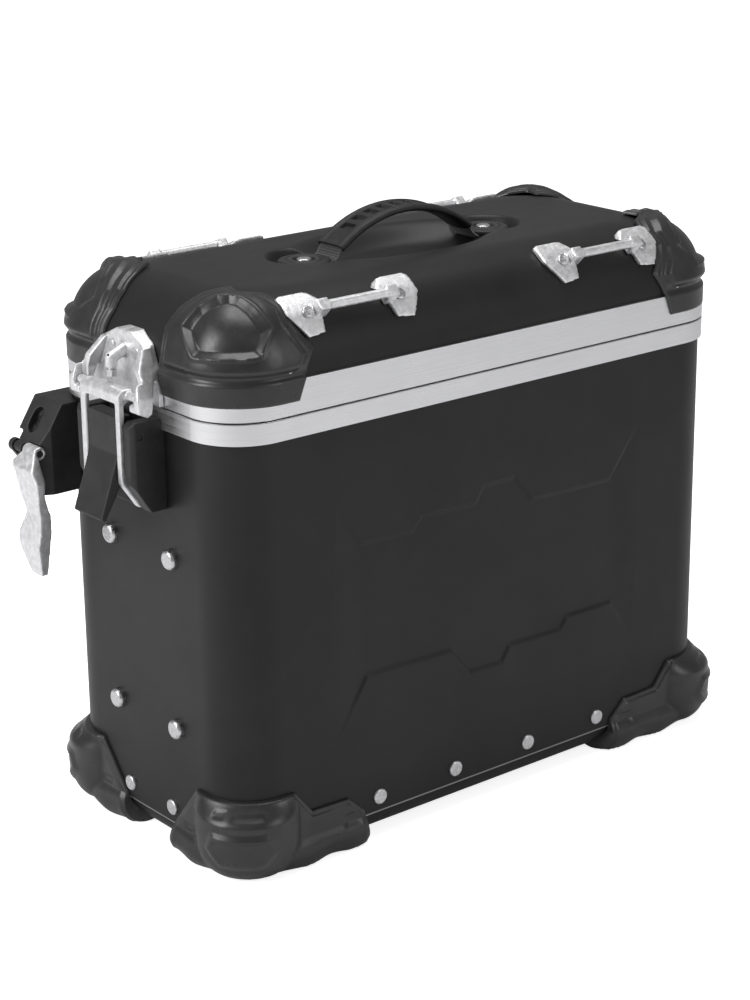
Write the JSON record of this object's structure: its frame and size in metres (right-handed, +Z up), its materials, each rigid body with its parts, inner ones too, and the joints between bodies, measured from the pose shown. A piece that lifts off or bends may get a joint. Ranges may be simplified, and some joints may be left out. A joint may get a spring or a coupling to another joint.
{
  "type": "motorcycle side case",
  "caption": "Aluminium motorcycle side case: riveted body, lift-off lid with draw latches that double as hinges, corner caps, lashing eyes, carrying handle and rack lock.",
  "frame": {"origin": "on the ground, under the middle of the case body in plan", "axes": "+Z up; X along the long side, with the rack lock at the -X end; -Y the broad outer face, +Y the face towards the motorcycle"},
  "size_m": [0.5575, 0.257, 0.44],
  "materials": {
    "black_powder_coat": "satin black powder coat",
    "dark_sheet": "satin black powder coat",
    "rim_aluminium": "bare, brushed along its length",
    "cap_plastic": "fine textured",
    "cast_aluminium": "tumbled casting",
    "latch_plastic": "fine textured",
    "rubber": "matt",
    "grip_rubber": "matt",
    "webbing": "ribbed woven webbing",
    "rivet_aluminium": "plain",
    "fastener_steel": "zinc plated",
    "lock_metal": "dark plated",
    "black_steel": "satin black"
  },
  "bodies": {
    "body": {"body_rim": "rim_aluminium", "body_shell": "black_powder_coat", "bottom_pan": "dark_sheet", "end_bolt_nuts": "fastener_steel", "end_bolts": "fastener_steel", "left_backing_plate": "fastener_steel", "left_latch_base": "latch_plastic", "left_latch_screws": "fastener_steel", "left_lever_pin": "black_steel", "lower_cap_back_left": "cap_plastic", "lower_cap_back_right": "cap_plastic", "lower_cap_front_left": "cap_plastic", "lower_cap_front_right": "cap_plastic", "lower_cap_screws": "fastener_steel", "pan_rivets": "rivet_aluminium", "rack_hooks": "black_steel", "rack_lock_housing": "latch_plastic", "rack_lock_screws": "fastener_steel", "rack_screws": "fastener_steel", "right_backing_plate": "fastener_steel", "right_latch_base": "latch_plastic", "right_latch_screws": "fastener_steel", "right_lever_pin": "black_steel", "support_pads": "rubber"},
    "lid": {"lid_shell": "black_powder_coat", "lid_rim": "rim_aluminium", "lid_seal": "rubber", "upper_cap_front_left": "cap_plastic", "upper_cap_front_right": "cap_plastic", "upper_cap_back_left": "cap_plastic", "upper_cap_back_right": "cap_plastic", "upper_cap_screws": "fastener_steel", "lashing_eye_front_left": "cast_aluminium", "lashing_eye_front_right": "cast_aluminium", "lashing_eye_back_left": "cast_aluminium", "lashing_eye_back_right": "cast_aluminium", "lashing_eye_screws": "fastener_steel", "handle_strap": "webbing", "handle_grip": "grip_rubber", "handle_disc_left": "latch_plastic", "handle_disc_right": "latch_plastic", "handle_screws": "fastener_steel", "left_lid_bracket": "cast_aluminium", "right_lid_bracket": "cast_aluminium", "left_bracket_rivets": "rivet_aluminium", "right_bracket_rivets": "rivet_aluminium", "left_stop_screw": "fastener_steel", "right_stop_screw": "fastener_steel"},
    "left_lever": {"left_latch_lever": "latch_plastic", "left_clip_pin": "fastener_steel"},
    "left_clip": {"left_latch_clip": "cast_aluminium"},
    "right_lever": {"right_latch_lever": "latch_plastic", "right_clip_pin": "fastener_steel"},
    "right_clip": {"right_latch_clip": "cast_aluminium"},
    "rack_lever": {"rack_lock_lever": "cast_aluminium", "rack_lock_shaft": "black_steel", "rack_lock_hook": "black_steel"},
    "barrel": {"lock_barrel": "lock_metal"}
  },
  "joints": [
    {"name": "lid_hinge", "type": "hinge", "parent": "body", "child": "lid", "pos_m": [0.256, 0, 0.345], "axis": [0, 1, 0], "range_deg": [0, 100]},
    {"name": "left_latch", "type": "hinge", "parent": "body", "child": "left_lever", "pos_m": [-0.255, 0, 0.318], "axis": [0, 1, 0], "range_deg": [0, 110]},
    {"name": "left_clip_swing", "type": "hinge", "parent": "left_lever", "child": "left_clip", "pos_m": [-0.247, 0, 0.268], "axis": [0, 1, 0], "range_deg": [-127, 0]},
    {"name": "right_latch", "type": "hinge", "parent": "body", "child": "right_lever", "pos_m": [0.255, 0, 0.318], "axis": [0, 1, 0], "range_deg": [-110, 0]},
    {"name": "right_clip_swing", "type": "hinge", "parent": "right_lever", "child": "right_clip", "pos_m": [0.247, 0, 0.268], "axis": [0, 1, 0], "range_deg": [0, 127]},
    {"name": "rack_lock", "type": "hinge", "parent": "body", "child": "rack_lever", "pos_m": [-0.2685, 0.083, 0.2825], "axis": [0, 1, 0], "range_deg": [0, 90]},
    {"name": "key_turn", "type": "hinge", "parent": "body", "child": "barrel", "pos_m": [-0.257, 0.096, 0.301], "axis": [-0.8412, 0, 0.5408], "range_deg": [0, 90]}
  ],
  "couplings": [
    {"joint": "left_clip_swing", "follows": "left_latch", "ratio": -1.15},
    {"joint": "right_clip_swing", "follows": "right_latch", "ratio": -1.15}
  ]
}
